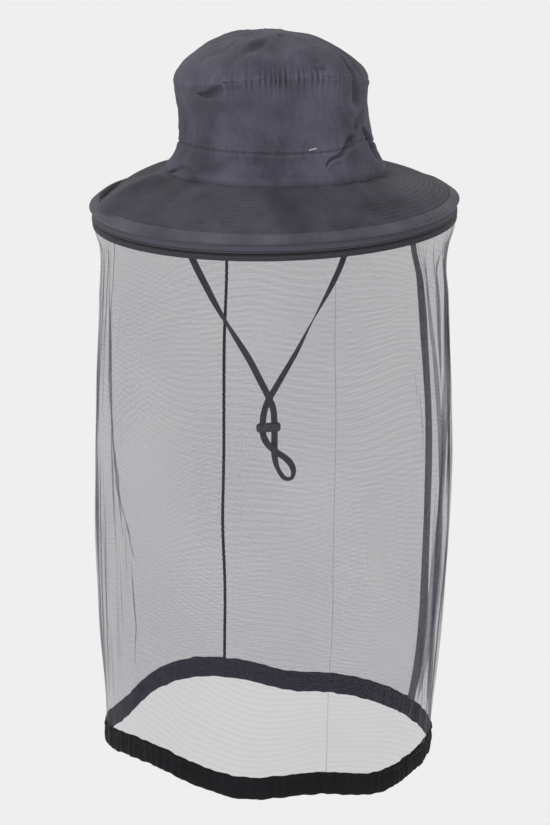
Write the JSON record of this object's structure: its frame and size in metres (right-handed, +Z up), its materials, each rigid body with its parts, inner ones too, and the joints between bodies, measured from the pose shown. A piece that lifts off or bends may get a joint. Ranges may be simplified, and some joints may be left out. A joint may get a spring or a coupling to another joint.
{
  "type": "veil hat",
  "caption": "Soft bucket hat with a zip-on tulle veil, an elasticated hem and a sliding chin strap, worn against bees and other insects.",
  "frame": {"origin": "centre of the head opening, at the seam between crown and brim", "axes": "+Z up through the crown, the wearer faces -Y, +X to the wearer's left"},
  "size_m": [0.3216, 0.3213, 0.634],
  "materials": {
    "hat_fabric": "matt grey-blue woven fabric",
    "brim_fabric": "matt grey-blue woven fabric with stitched rows",
    "lining": "matt dark lining",
    "label": "plain pale woven tab",
    "zip_tape": "herringbone zip tape",
    "zip_plastic": "moulded coil",
    "zip_metal": "satin dark enamel",
    "net": "fine dark tulle",
    "hem_fabric": "matt black woven fabric",
    "strap": "soft black knitted tape",
    "toggle_plastic": "moulded, lightly grained"
  },
  "bodies": {
    "hat": {"crown_tip": "hat_fabric", "crown_wall_front": "hat_fabric", "crown_wall_rear": "hat_fabric", "crown_band_front": "hat_fabric", "crown_band_rear": "hat_fabric", "sweatband": "lining", "label_tab": "label", "brim_top": "brim_fabric", "brim_interfacing": "lining", "brim_under": "brim_fabric", "brim_edge_binding": "brim_fabric", "zip_upper_tape": "zip_tape", "zip_upper_coil": "zip_plastic", "zip_end_stop": "zip_plastic"},
    "slider": {"zip_slider": "zip_metal"},
    "pull": {"zip_pull": "zip_metal"},
    "veil": {"zip_lower_coil": "zip_plastic", "zip_lower_tape": "zip_tape", "zip_start_box": "zip_plastic", "veil_top_binding": "hem_fabric", "net_panel_left": "net", "net_panel_right_rear": "net", "net_panel_right_front": "net", "net_back_seam": "hem_fabric", "net_side_seam_tape": "hem_fabric", "net_front_seam": "hem_fabric", "hem_casing": "hem_fabric", "hem_elastic": "strap", "hem_join_tab": "hem_fabric"},
    "chin_strap": {"strap_anchor_left": "strap", "strap_anchor_right": "strap", "chin_strap_left": "strap", "chin_strap_right": "strap", "chin_strap_loop": "strap"},
    "toggle": {"toggle": "toggle_plastic"}
  },
  "joints": [
    {"name": "zip_slider_travel", "type": "hinge", "parent": "hat", "child": "slider", "pos_m": [0, 0.002, -0.026], "axis": [-0.039, -0.0536, 0.9978], "range_deg": [0, 342]},
    {"name": "zip_pull_swing", "type": "hinge", "parent": "slider", "child": "pull", "pos_m": [-0.09727, 0.13186, -0.03184], "axis": [-0.039, -0.0536, 0.9978], "range_deg": [-170, 0]},
    {"name": "veil_release", "type": "slide", "parent": "hat", "child": "veil", "axis": [0.039, 0.0536, -0.9978], "range_m": [0, 0.32]},
    {"name": "chin_strap_swing", "type": "hinge", "parent": "hat", "child": "chin_strap", "pos_m": [0, 0.02, 0.008], "axis": [1, 0, 0], "range_deg": [-20, 20]},
    {"name": "toggle_slide", "type": "slide", "parent": "chin_strap", "child": "toggle", "axis": [0, 0, 1], "range_m": [-0.02, 0.1], "deforming": ["chin_strap_left", "chin_strap_right", "chin_strap_loop"]}
  ]
}
